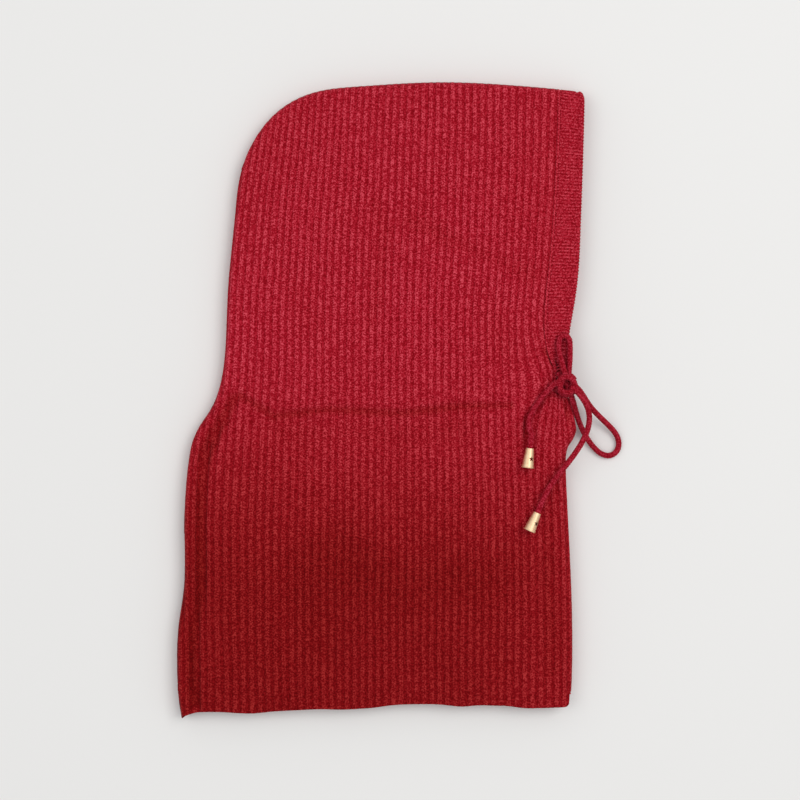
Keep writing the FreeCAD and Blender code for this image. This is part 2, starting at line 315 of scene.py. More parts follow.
# %% Piece and tree helpers
def new_tree(name, **inputs):
    """A Geometry Nodes tree with named inputs.  Gives the tree, its geometry socket and its inputs."""
    tree = bpy.data.node_groups.new(name, "GeometryNodeTree")
    tree.interface.new_socket("Geometry", in_out="INPUT", socket_type="NodeSocketGeometry")
    tree.interface.new_socket("Geometry", in_out="OUTPUT", socket_type="NodeSocketGeometry")
    for label, value in inputs.items():
        kind = "NodeSocketMaterial" if value is None else "NodeSocketFloat"
        if isinstance(value, int):
            kind = "NodeSocketInt"
        plug = tree.interface.new_socket(label, in_out="INPUT", socket_type=kind)
        if value is not None:
            plug.default_value = value
    entry = tree.nodes.new("NodeGroupInput")
    fields = {label: Field(tree, entry.outputs[label]) for label in inputs}
    return tree, entry.outputs["Geometry"], fields


def end_tree(tree, geometry, material):
    """Every tree ends the same way: instances made real, smooth faces, its material, and out."""
    real = add_node(tree, "GeometryNodeRealizeInstances", inputs={"Geometry": geometry})
    soft = add_node(tree, "GeometryNodeSetShadeSmooth", inputs={"Geometry": real.outputs["Geometry"]})
    dressed = add_node(tree, "GeometryNodeSetMaterial", inputs={
        "Geometry": soft.outputs["Geometry"], "Material": material})
    out = tree.nodes.new("NodeGroupOutput")
    join(tree, dressed.outputs["Geometry"], out.inputs["Geometry"])


def run_tree(piece, tree, **values):
    """Gives the piece what the tree makes of it, as a plain mesh."""
    modifier = piece.modifiers.new(tree.name, "NODES")
    modifier.node_group = tree
    for plug in tree.interface.items_tree:
        if plug.in_out == "INPUT" and plug.name in values:
            modifier[plug.identifier] = values[plug.name]
    bpy.context.view_layer.update()
    made = piece.evaluated_get(bpy.context.evaluated_depsgraph_get())
    mesh = bpy.data.meshes.new_from_object(made)
    piece.modifiers.remove(modifier)
    piece.data = mesh
    mesh.name = piece.name
    print(f"{piece.name}: {len(mesh.vertices)} points, {len(mesh.polygons)} faces")
    return piece


def new_piece(name, points, faces=(), edges=(), knit=None, fields=None):
    """A mesh object at the origin.  Points are in millimetres, and fields are one number to a point."""
    mesh = bpy.data.meshes.new(name)
    mesh.from_pydata((np.asarray(points, float) * MM).tolist(), edges, faces)
    for label, values in (fields or {}).items():
        mesh.attributes.new(label, "FLOAT", "POINT").data.foreach_set("value", np.ravel(values))
    if knit is not None:
        corners = np.zeros(len(mesh.loops), int)
        mesh.loops.foreach_get("vertex_index", corners)
        mesh.uv_layers.new(name="knit").data.foreach_set("uv", np.asarray(knit, float)[corners].ravel())
    piece = bpy.data.objects.new(name, mesh)
    bpy.context.scene.collection.objects.link(piece)
    return piece


# %% [markdown]
# ## The drawcord
# The cord is a round knitted cord: five columns of V-shaped stitches round a hollow middle.  It could be
# a smooth tube with a bump map, but its outline is seen against the floor, so the stitches are real
# relief.  The tree takes a plain line, turns it into a curve, sweeps a circle along it, and pushes each
# point out by the height of the stitch it falls on.

# %% Knitted cord tree
def knitted_cord_tree():
    tree, line, size = new_tree(
        "knitted cord", Diameter=0.004, Stitch=0.0019, Relief=0.0003, Wales=5.0, Material=None)
    curve = add_node(tree, "GeometryNodeMeshToCurve", inputs={"Mesh": line})
    even = add_node(tree, "GeometryNodeResampleCurve", {"mode": "LENGTH"}, {
        "Curve": curve.outputs["Curve"], "Length": size["Stitch"] * 0.25})
    ring = add_node(tree, "GeometryNodeCurvePrimitiveCircle", inputs={
        "Resolution": 30, "Radius": size["Diameter"] * 0.5})

    def remember(path, output):
        """Keeps how far along its own path each point is, for use after the sweep."""
        parameter = add_node(tree, "GeometryNodeSplineParameter")
        keeper = add_node(tree, "GeometryNodeCaptureAttribute", inputs={"Geometry": path})
        keeper.capture_items.new("FLOAT", output)
        join(tree, parameter.outputs[output], keeper.inputs[output])
        return keeper.outputs["Geometry"], Field(tree, keeper.outputs[output])

    path, along = remember(even.outputs["Curve"], "Length")
    circle, turn = remember(ring.outputs["Curve"], "Factor")
    swept = add_node(tree, "GeometryNodeCurveToMesh", inputs={
        "Curve": path, "Profile Curve": circle, "Fill Caps": True})
    wale = turn * size["Wales"]
    side = (wale.fract() - 0.5).abs()
    beat = along.math("DIVIDE", size["Stitch"]) + side * 1.1
    leg = (side * 2.0 - 0.5).wave(1.0)
    relief = (beat.wave() * 0.65 + 0.35) * (leg * 0.6 + 0.4)
    normal = add_node(tree, "GeometryNodeInputNormal")
    push = add_node(tree, "ShaderNodeVectorMath", {"operation": "SCALE"}, {
        "Vector": normal.outputs["Normal"], "Scale": (relief - 0.6) * size["Relief"]})
    kept = add_node(tree, "GeometryNodeStoreNamedAttribute", {"data_type": "FLOAT"}, {
        "Geometry": swept.outputs["Mesh"], "Name": "relief", "Value": relief})
    moved = add_node(tree, "GeometryNodeSetPosition", inputs={
        "Geometry": kept.outputs["Geometry"], "Offset": push.outputs["Vector"]})
    end_tree(tree, moved.outputs["Geometry"], size["Material"])
    return tree


CORD_TREE = knitted_cord_tree()

# %% [markdown]
# ## Where the cord runs
# Each route is the handful of points that the design model's tube turns at, used here as the control
# points of one smooth spline.  The cord leaves the knot, makes the big loop down to the floor and back,
# lies along the band in the small loop, and ends in two tails that go through their bells.

# %% Cord routes
ON_TOP = TOP + CORD / 2 + 0.15
ON_FLOOR = CORD / 2 + 0.1
BIG_LOOP = [
    (133.5, 12.0, 20.4), (138.8, 8.2, 20.0), (143.2, 2.0, 18.0), (147.6, -4.6, 14.8), (153.8, -11.0, 10.4),
    (161.0, -17.4, 6.0), (167.2, -23.6, 3.3), (170.0, -30.2, ON_FLOOR), (168.8, -36.8, ON_FLOOR),
    (163.6, -40.4, ON_FLOOR), (157.4, -39.2, ON_FLOOR), (151.8, -34.4, 2.6), (147.0, -28.0, 3.4),
    (142.9, -20.6, 4.8), (139.8, -13.2, 8.0), (137.4, -6.0, 12.2), (135.2, 1.0, 16.6), (132.6, 7.4, 19.6),
]
SMALL_LOOP = [
    (130.2, 15.0, 23.0), (128.5, 22.4, 21.6), (126.5, 29.6, 19.4), (125.5, 36.6, ON_TOP),
    (125.7, 43.0, ON_TOP), (129.4, 45.4, ON_TOP), (133.2, 43.0, ON_TOP), (133.5, 36.6, ON_TOP),
    (133.4, 29.6, ON_TOP), (132.9, 22.4, 18.4), (132.2, 15.0, 19.8),
]
UPPER_TAIL = [
    (129.6, 14.2, 21.8), (124.6, 12.7, 21.0), (119.6, 8.4, 19.0), (114.0, 1.8, ON_TOP),
    (108.6, -5.2, ON_TOP), (105.0, -12.6, ON_TOP + 0.6), (104.2, -19.2, ON_TOP + 1.6),
]
LOWER_TAIL = [
    (133.6, 9.4, 23.2), (138.4, 5.2, 23.4), (142.8, -0.6, 23.0), (146.2, -7.0, 21.0), (147.3, -14.0, 18.0),
    (146.2, -21.0, 16.2), (143.4, -27.8, 16.0), (139.2, -34.8, 17.6), (134.0, -41.8, 19.8),
    (128.4, -48.6, 20.4), (123.0, -55.6, 19.2), (118.9, -61.6, 19.0),
]
UPPER_BELL = (np.array((105.1, -34.3, 20.6)), math.radians(7.0))      # middle of its top, and its lean
LOWER_BELL = (np.array((110.2, -79.6, 20.6)), math.radians(23.7))
UPPER_STRAIGHT = 9.5                    # straight part of a tail above its bell, which the bell slides along
LOWER_STRAIGHT = 13.5
INSIDE_BELL = 9.4                       # from the bell's top to the end of the cord in it


def through_bell(tail, bell, straight):
    """Adds the straight end of a tail.  The two points at its start keep the spline straight after them."""
    top, lean = bell
    way = np.array((-math.sin(lean), -math.cos(lean), 0))
    return tail + [tuple(top - way * reach) for reach in (straight, straight - 2.0, -INSIDE_BELL)]


# %% [markdown]
# A NURBS spline of order 3 turns inside its control points, as a limp cord lies.  Its points are read
# back from Blender, and the cord's mesh follows them.

# %% Lay the cords
def smooth_line(name, route):
    """The points of the NURBS spline that has the route as its control points, in metres."""
    curve = bpy.data.curves.new(name, "CURVE")
    curve.dimensions = "3D"
    spline = curve.splines.new("NURBS")
    spline.points.add(len(route) - 1)
    for point, place in zip(spline.points, route):
        point.co = (*(Vector(place) * MM), 1)
    spline.order_u = 3
    spline.use_endpoint_u = True
    spline.resolution_u = 12
    holder = bpy.data.objects.new(name, curve)
    bpy.context.scene.collection.objects.link(holder)
    bpy.context.view_layer.update()
    mesh = bpy.data.meshes.new_from_object(holder)
    line = [tuple(v.co) for v in mesh.vertices]
    bpy.data.objects.remove(holder)
    bpy.data.curves.remove(curve)
    bpy.data.meshes.remove(mesh)
    return line


def knitted_cord(name, lines, diameter=CORD, relief=0.42, closed=False):
    """One piece of knitted cord along each of the lines, which are in metres."""
    points = []
    edges = []
    for line in lines:
        first = len(points)
        points += [tuple(Vector(p) / MM) for p in line]
        edges += [(i, i + 1) for i in range(first, len(points) - 1)]
        if closed:
            edges.append((len(points) - 1, first))
    piece = new_piece(name, points, edges=edges)
    run_tree(piece, CORD_TREE, Diameter=diameter * MM, Stitch=CORD_STITCH * MM * diameter / CORD,
             Relief=relief * MM, Wales=float(CORD_WALES), Material=CORD_YARN)
    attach(piece, "root")
    return piece


def length_of(line):
    return sum(math.dist(a, b) for a, b in zip(line, line[1:]))


free_cords = {
    "drawcord_big_loop": (BIG_LOOP, "object"),
    "drawcord_small_loop": (SMALL_LOOP, "object"),
    "drawcord_tail_upper": (through_bell(UPPER_TAIL, UPPER_BELL, UPPER_STRAIGHT), "fitting"),
    "drawcord_tail_lower": (through_bell(LOWER_TAIL, LOWER_BELL, LOWER_STRAIGHT), "fitting"),
}
cord_lines = {}
for name, (route, far_end) in free_cords.items():
    cord_lines[name] = smooth_line(name, route)
    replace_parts(knitted_cord(name + "_knit", [cord_lines[name]]), name)
    print(f"{name}: {length_of(cord_lines[name]) * 1000:.0f} mm long, {far_end} at its end")

# %% [markdown]
# The rest of the cord is hidden in the fold of the face band: up one side of the face, over the crown
# and down the other.  Its two leads come out under the chin, into the knot.

# %% The run inside the band
UPPER_RUN = TOP - CORD / 2 - 0.8
LOWER_RUN = CORD / 2 + 0.8
FOLD_LINE = [
    (130.5, 24.0), (130.3, 34.0), (130.9, 48.0), (133.6, 66.0), (137.0, 90.0), (139.2, 130.0),
    (140.6, 172.0), (141.3, 200.0), (141.4, 215.4),
]
CHANNEL = (
    [(131.4, 12.6, TOP + 1.8), (130.8, 18.0, UPPER_RUN + 1.2)]
    + [(x, y, UPPER_RUN) for x, y in FOLD_LINE]
    + [(x, y, LOWER_RUN) for x, y in reversed(FOLD_LINE)]
    + [(130.1, 16.2, LOWER_RUN + 0.2), (130.4, 9.6, 5.4), (130.8, 7.2, 11.2)]
    + [(131.2, 7.8, TOP + 1.8)]
)
channel_run = knitted_cord("channel_run_knit", [smooth_line("channel", CHANNEL)], relief=0.3)
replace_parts(channel_run, "drawcord_channel_run")

# %% [markdown]
# ## The bow knot
# The knot is the cord itself, wrapped twice round the two leads and pulled down.  Seen from above, one
# wrap arches over a dark hole, and the others fill the space under it.  A sculpted lump could stand in
# for it, but nine short turns of the same cord have the right creases for nothing.

# %% Knot strands
knot_low, knot_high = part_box("bow_knot")
KNOT = (knot_low + knot_high) / 2 / MM
KNOT_STRANDS = {
    "arch over the top": [
        (-7.4, -0.2, -0.6), (-6.2, 2.6, 1.2), (-3.4, 5.0, 2.6), (0.2, 5.6, 3.2), (3.2, 3.8, 3.0),
        (5.0, 0.6, 2.2), (5.6, -3.4, 0.6),
    ],
    "turn below the hole": [
        (-5.4, -3.0, -1.4), (-2.8, -5.2, 0.8), (0.4, -5.8, 1.8), (3.4, -4.6, 1.2), (5.0, -1.6, -0.8),
    ],
    "turn on the left": [
        (-3.4, -6.6, -2.6), (-5.2, -3.2, 0.2), (-5.0, 1.0, 0.8), (-2.4, 4.4, -0.6), (-1.0, 6.4, -1.8),
    ],
    "fold above": [(-5.2, 4.0, -3.2), (-2.2, 7.0, -2.6), (2.6, 7.0, -2.6), (5.2, 3.4, -3.2)],
    "fold below": [(-5.4, -3.8, -3.2), (-2.8, -6.9, -2.4), (2.6, -6.9, -2.4), (5.2, -4.0, -3.2)],
    "turn on the right": [
        (2.0, 6.4, -2.4), (3.8, 2.0, -0.6), (3.2, -3.0, -0.6), (1.2, -6.6, -2.6),
    ],
    "lead from the band": [(-6.4, 8.2, -5.4), (-3.4, 5.0, -3.8), (0.5, 1.0, -3.0)],
    "core across": [(-5.0, 1.6, -3.2), (0.0, 0.2, -3.4), (5.0, -1.4, -3.2)],
    "core along": [(-0.6, 6.6, -3.0), (0.2, 0.0, -3.2), (0.4, -6.4, -3.2)],
}
strands = []
for title, offsets in KNOT_STRANDS.items():
    strands.append(smooth_line(title, [tuple(KNOT + Vector(o)) for o in offsets]))
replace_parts(knitted_cord("bow_knot_turns", strands), "bow_knot")

# %% [markdown]
# ## Stop knots
# A small overhand knot holds each bell on.  An overhand knot pulled tight is a trefoil, which has a
# formula, so one loop of points makes both.

# %% Trefoil stop knots
STOP_CORD = 2.5         # the cord is pulled thin where it is tied
TREFOIL_POINTS = 72


def trefoil(middle, radius, cord):
    """A closed trefoil of points that fits, with its cord, in a sphere."""
    reach = (radius - cord / 2) / 3.0
    points = []
    for i in range(TREFOIL_POINTS):
        t = 2 * math.pi * i / TREFOIL_POINTS
        offset = Vector((
            math.sin(t) + 2 * math.sin(2 * t), math.cos(t) - 2 * math.cos(2 * t), -1.35 * math.sin(3 * t)))
        points.append(tuple((Vector(middle) + offset * reach) * MM))
    return points


for side in ("upper", "lower"):
    low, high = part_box(f"stop_knot_{side}")
    middle = (low + high) / 2 / MM
    radius = (high.x - low.x) / 2 / MM
    line = trefoil(middle, radius, STOP_CORD)
    piece = knitted_cord(f"stop_knot_{side}_tied", [line], STOP_CORD, relief=0.25, closed=True)
    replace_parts(piece, f"stop_knot_{side}")

for name, (route, far_end) in free_cords.items():
    if far_end == "fitting":
        side = name.rsplit("_", 1)[1]

# %% [markdown]
# ## Reading the edges of the knit off the frame
# The cloth has to end exactly where the design says.  A ray sent level at the design's panel stops at
# its edge, so a row of rays gives the edge as a table that the cloth is then laid out on.

# %% Edge finder
def rays_at(node):
    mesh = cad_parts[node].data
    mesh.calc_loop_triangles()
    points = [v.co / MM for v in mesh.vertices]
    return BVHTree.FromPolygons(points, [t.vertices for t in mesh.loop_triangles])


FAR = 400.0


def edge_along_y(node, side, ys, z):
    """x of the node's edge on that side (-1 or 1) at each y."""
    tree = rays_at(node)
    found = [tree.ray_cast(Vector((side * FAR, y, z)), Vector((-side, 0, 0)))[0] for y in ys]
    return np.array([hit.x if hit else np.nan for hit in found])


def edge_along_x(node, side, xs, z):
    """y of the node's edge on that side (-1 or 1) at each x."""
    tree = rays_at(node)
    found = [tree.ray_cast(Vector((x, side * FAR, z)), Vector((0, -side, 0)))[0] for x in xs]
    return np.array([hit.y if hit else np.nan for hit in found])


def known(xs, ys, above=-FAR):
    """The pairs that were found, with their second number above a limit."""
    good = np.nan_to_num(ys, nan=-FAR) > above
    return xs[good], ys[good]


CUT_HEIGHT = SEAM_TOP + 0.05          # just above the closed edges
SKIN_HEIGHT = TOP - KNIT / 2          # in the middle of the upper layer
ARC_FOOT = 163.0                      # where the back of the head turns into the crown
CHIN = 19.0                           # where the closed front ends and the face opens
HEM_CORNER = -211.5                   # the front edge is straight from here down
ys = np.arange(-224.6, 228.0, 0.7)
xs = np.arange(-143.9, 144.2, 0.6)
back = known(ys, edge_along_y("right_side_panel", -1, ys, CUT_HEIGHT))
front = known(ys, edge_along_y("right_side_panel", 1, ys, SKIN_HEIGHT))
front_low = known(ys[ys < CHIN], edge_along_y("right_side_panel", 1, ys[ys < CHIN], CUT_HEIGHT))
crown = known(xs, edge_along_x("right_side_panel", 1, xs, CUT_HEIGHT), above=ARC_FOOT - 1)
hem = known(xs, edge_along_x("right_side_panel", -1, xs, SKIN_HEIGHT))
print("places found on each edge:", [len(edge[0]) for edge in (back, front, front_low, crown, hem)])
print("back", back[1][:3].round(1), "front", front_low[1][:3].round(1), front[1][-3:].round(1))
print("hem", hem[0][[0, -1]].round(1), hem[1][[0, -1]].round(1), "crown", crown[0][[0, -1]].round(1))

# %% [markdown]
# ## Laying out a panel
# A panel is one piece of cloth, so it is one grid: its columns run from the hem to the crown beside the
# ribs, and its rows cross them.  Near a closed edge the cloth rolls over towards the seam.  Columns are
# spaced by how much cloth they cross, so the roll gets as many as it needs, and each point's height
# comes from its distance to the closed edge.

# %% Where the columns run
ROLL = 6.5                                     # how far in from a closed edge the cloth is level
CLOSED_RISE = TOP - SEAM_TOP                   # from the seam to the upper surface
ROLL_CLOTH = math.pi / 4 * (ROLL + CLOSED_RISE)
COLUMNS = 441
ROWS = 205
LEAN_ABOVE = 0.10                              # lean of the columns past the foot of the crown's arc
HEM_END = 134.6                                # x at which the hem meets the front edge
BAND_TURN = 211.0                              # y at which the face band turns over the crown

closed_part = np.array(front_low)[:, front_low[0] > HEM_CORNER]
open_part = np.array(front)[:, (front[0] > CHIN + 3) & (front[0] < BAND_TURN - 3)]
front_ys, front_xs = np.concatenate([closed_part, open_part], axis=1)
hem_xs, hem_ys = np.array(hem)[:, hem[0] < HEM_END]


def back_x(y):
    level = np.minimum(y, ARC_FOOT)
    return np.interp(level, *back) + LEAN_ABOVE * (y - level)


def front_x(y):
    """The front edge.  Below the knot it bulges to the cord that lies over it."""
    at_the_knot = 3.6 * np.exp(-(y / 3.5) ** 2)
    below_it = 1.6 * np.exp(-((y + 8.0) / 8.0) ** 2)
    return np.interp(y, front_ys, front_xs) + at_the_knot + below_it


def smoothstep(value, low, high):
    t = np.clip((value - low) / (high - low), 0, 1)
    return t * t * (3 - 2 * t)


def closed_front(y):
    """1 where the front of the neck is closed, 0 where the face opens."""
    return 1 - smoothstep(y, 10.0, 25.0)


def roll_in(cloth):
    """How far in from a closed edge the cloth is, after that much cloth."""
    angle = np.clip(cloth / ROLL_CLOTH, 0, 1) * math.pi / 2
    return ROLL * (1 - np.cos(angle)) + np.maximum(cloth - ROLL_CLOTH, 0)


def column_x(share, y):
    """x of the column that has that share of the cloth behind it."""
    width = front_x(y) - back_x(y)
    spare = ROLL_CLOTH - ROLL
    cloth = width + spare * (1 + closed_front(y))
    behind = share * cloth
    ahead = cloth - behind
    from_back = back_x(y) + roll_in(behind)
    rolled = front_x(y) - roll_in(ahead)
    open_edge = front_x(y) - ahead
    from_front = open_edge + (rolled - open_edge) * closed_front(y)
    blend = smoothstep(share, 0.3, 0.7)
    return from_back * (1 - blend) + from_front * blend


def solve_y(share, low, high, line):
    """y at which each column meets a line, found by halving."""
    low = np.full_like(share, low)
    high = np.full_like(share, high)
    for _ in range(45):
        middle = (low + high) / 2
        under = middle < line(column_x(share, middle))
        low = np.where(under, middle, low)
        high = np.where(under, high, middle)
    return (low + high) / 2


LOWEST = panel_low.y / MM
shares = np.linspace(0, 1, COLUMNS)
crown_at = solve_y(shares, ARC_FOOT, 232.0, lambda x: np.interp(x, *crown))
hem_at = solve_y(shares, LOWEST - 1, -205.0, lambda x: np.interp(x, hem_xs, hem_ys))
crown_at[0] = ARC_FOOT
hem_at[0] = LOWEST
print(f"columns reach from y {hem_at.min():.1f} to {crown_at.max():.1f} mm")

# %% [markdown]
# ## How the cloth lies
# The upper panel is not a board.  It has a faint crease across the neck where it was folded, a rolled
# ridge down the back of the neck, soft dents in the hood, and gathers that run into the knot.  Each is
# a line that the cloth dips or lifts along, so the whole shape is a short list of lines.

# %% Dents, ridges and gathers
def distance_to(line, x, y):
    """Distance of each point from a line of (x, y) points."""
    best = np.full(np.shape(x), 1e9)
    for (x0, y0), (x1, y1) in zip(line, line[1:]):
        run = (x1 - x0) ** 2 + (y1 - y0) ** 2
        t = np.clip(((x - x0) * (x1 - x0) + (y - y0) * (y1 - y0)) / max(run, 1e-9), 0, 1)
        best = np.minimum(best, np.hypot(x - x0 - t * (x1 - x0), y - y0 - t * (y1 - y0)))
    return best


KNOT_FOOT = (128.5, 13.0)
FOLDS = {        # a line, how much the cloth lifts along it, and how wide the fold is
    "storage crease": ([(-99, 3), (-75, -12), (-36, -7), (14, -10), (56, -5), (92, -4)], -2.2, 2.4),
    "below the crease": ([(-70, -24), (10, -24), (70, -20)], -0.5, 12.0),
    "dart at the nape": ([(-104, 0), (-114, -18), (-124, -40)], -2.6, 4.2),
    "hood, across": ([(21, 127), (106, 88)], -0.7, 7.0),
    "hood, down": ([(-4, 140), (4, 118), (-3, 70), (-8, 52)], -0.6, 7.0),
    "neck, across": ([(-40, -110), (30, -132), (84, -126)], -1.0, 22.0),
    "under the knot": ([(128.4, 6), (131.4, -5), (136.8, -23)], -3.4, 1.7),
    "beside the knot": ([(116.5, 34), (119.7, 30), (126.1, 19)], -2.0, 2.2),
    "beside the tail": ([(122, 9), (112, -3), (103, -14), (101, -34)], -1.3, 2.2),
    "flap": ([(121, 0), (118, -14), (116, -30)], 0.5, 7.0),
    "front of the neck": ([(121, -60), (119, -120), (121, -190)], -0.9, 7.0),
}


SAG = -0.5              # the cloth lies this much below its highest, with slow waves in it
GATHERS = 15.0          # pleats in a full turn round the knot


def lie(x, y, from_back_edge):
    """How far the upper surface is above or below level."""
    height = SAG + 0.22 * np.sin(x / 23.0 + 0.6) * np.sin(y / 31.0) + 0.13 * np.sin(x / 9.5 + y / 17.0)
    for line, lift, width in FOLDS.values():
        height += lift * np.exp(-(distance_to(line, x, y) / width) ** 2)
    low_back = 1 - smoothstep(y, -45.0, 0.0)
    height += -2.3 * low_back * np.exp(-((from_back_edge - 12.0) / 4.2) ** 2)
    height += 0.25 * low_back * np.exp(-((from_back_edge - 20.0) / 5.0) ** 2)
    reach = np.hypot(x - KNOT_FOOT[0], y - KNOT_FOOT[1])
    bearing = np.arctan2(y - KNOT_FOOT[1], x - KNOT_FOOT[0])
    below = smoothstep(-np.sin(bearing) - 0.35 * np.cos(bearing), 0.0, 0.45)
    height += 0.75 * np.cos(bearing * GATHERS) * below * np.exp(-((reach - 12.0) / 13.0) ** 2)
    return np.minimum(height, 0.0)


# %% [markdown]
# Ribs follow the back of the head and the seam of the face band.  Under the chin they are drawn
# together into the knot.  So the count of ribs is a field: x over the rib's width, shifted where
# something pulls the cloth.

# %% Which rib a point is on
BACK_GUIDE = [       # (y, x) points of a line that the ribs behind it keep beside
    (-225, -119), (-95, -119.5), (-45, -118), (-10, -115), (15, -112.6), (75, -108.5), (128, -103.5),
    (163, -98.5), (225, -90),
]
FRONT_GUIDE = [
    (-225, 124), (-120, 123), (-40, 121), (-10, 119), (20, 117.6), (44, 116.8), (60, 116.4),
    (95, 119.6), (141, 123.0), (190, 125.4), (232, 126.0),
]


BACK_RIB = -108.5       # x of the ribs beside each guide where they run straight
FRONT_RIB = 119.6
PULL_ABOVE = 24.0       # how far the knot's pull reaches up, down and across
PULL_BELOW = 30.0
PULL_ACROSS = 17.0


def rib_count(x, y):
    back_line = np.interp(y, *np.transpose(BACK_GUIDE))
    front_line = np.interp(y, *np.transpose(FRONT_GUIDE))
    from_back = np.maximum(x - back_line, 0)
    from_front = np.maximum(front_line - x, 0)
    shifted = x - (back_line - BACK_RIB) * np.exp(-from_back / 70.0)
    shifted -= (front_line - FRONT_RIB) * np.exp(-from_front / 55.0)
    reach = (y - KNOT_FOOT[1]) / np.where(y > KNOT_FOOT[1], PULL_ABOVE, PULL_BELOW)
    pull = 1.25 * np.exp(-reach ** 2) * np.exp(-((x - KNOT_FOOT[0]) / PULL_ACROSS) ** 2)
    shifted += (x - KNOT_FOOT[0]) * pull
    sway = 0.35 * np.sin(y / 37.0 + x / 60.0) + 0.18 * np.sin(y / 13.0 + x / 21.0)
    return (shifted + sway) / RIB


# %% [markdown]
# ## Raising the ribs
# The panel's grid is smooth, and the ribs come from Geometry Nodes: each point of the outer face moves
# along its own normal by the depth of the groove it lies in.  The depth is a named input, and a little
# noise makes some ribs fatter than others, as hand pressing does.  The same tree raises the finer
# ridges of the face band, with other numbers.

# %% Rib relief tree
def rib_relief_tree():
    tree, cloth, size = new_tree("rib relief", Relief=0.001, Unevenness=0.12, Seed=3.0, Material=None)
    rib = add_node(tree, "GeometryNodeInputNamedAttribute", {"data_type": "FLOAT"}, {"Name": "rib"})
    face = add_node(tree, "GeometryNodeInputNamedAttribute", {"data_type": "FLOAT"}, {"Name": "outer"})
    lumps = add_node(tree, "ShaderNodeTexNoise", {"noise_dimensions": "4D"}, {
        "W": size["Seed"], "Scale": 130.0, "Detail": 1.0})
    count = Field(tree, rib.outputs["Attribute"])
    uneven = Field(tree, lumps.outputs["Fac"]) - 0.5
    proud = rib_profile(count + uneven * size["Unevenness"])
    depth = (proud - 1.0) * Field(tree, face.outputs["Attribute"]) * size["Relief"]
    normal = add_node(tree, "GeometryNodeInputNormal")
    push = add_node(tree, "ShaderNodeVectorMath", {"operation": "SCALE"}, {
        "Vector": normal.outputs["Normal"], "Scale": depth})
    moved = add_node(tree, "GeometryNodeSetPosition", inputs={
        "Geometry": cloth, "Offset": push.outputs["Vector"]})
    end_tree(tree, moved.outputs["Geometry"], size["Material"])
    return tree


RELIEF_TREE = rib_relief_tree()

# %% [markdown]
# The outer face is a fine grid, because the ribs show on it.  The inner face is plain, so it needs an
# eighth of the columns and a quarter of the rows.  Where the two meet, one many-sided face joins eight
# fine edges to each coarse one, and the panel is closed.

# %% Panel meshes
COARSE_COLUMNS = 8
COARSE_ROWS = 4
HEM_FINE = 1.2          # how far up from the hem, and down from the crown, the rows are closer
CROWN_FINE = 12.0


def row_shares(length):
    """Places of the rows along a column: fine at the hem and where the crown rolls over."""
    fine_top = 14
    fine_hem = 3
    top = CROWN_FINE / length * np.cos(np.linspace(0, math.pi / 2, fine_top + 1))
    low = np.linspace(0, HEM_FINE / length, fine_hem, endpoint=False)
    plain = np.linspace(HEM_FINE / length, 1 - CROWN_FINE / length, ROWS - fine_top - fine_hem)
    return np.concatenate([low, plain[:-1], 1 - top])


def rolled(distance):
    """Share of its full height that the cloth has, that far in from a closed edge."""
    return np.sqrt(np.clip(1 - (1 - np.clip(distance / ROLL, 0, 1)) ** 2, 0, 1))


NEAR = 45.0             # how far in from an edge its distance matters
FRONT_SEAM_TOP = 26.0   # y at which the front's closed edge ends


def distance_near(line, x, y, near):
    """Distance from a line of points for the points that are near it, and NEAR for the others."""
    found = np.full(x.shape, NEAR)
    found[near] = distance_to(line, x[near], y[near])
    return found


def edge_distances(x, y):
    """Distance of each grid point from the closed edge behind and above it, and from the one in front."""
    back_line = list(zip(x[:, 0], y[:, 0])) + list(zip(x[-1, 1::3], y[-1, 1::3]))
    front_line = [(px, py) for px, py in zip(x[:, -1], y[:, -1]) if py < FRONT_SEAM_TOP]
    near_back = (x < x[:, :1] + NEAR) | (y > y[-1:] - NEAR)
    near_front = (x > x[:, -1:] - NEAR / 2) & (y < FRONT_SEAM_TOP + NEAR / 2)
    from_back = distance_near(back_line, x, y, near_back)
    from_front = distance_near(front_line, x, y, near_front)
    from_back[:, 0] = 0.0
    from_back[-1] = 0.0
    from_front[:, -1] = np.where(y[:, -1] < FRONT_SEAM_TOP, 0.0, from_front[:, -1])
    return from_back, from_front


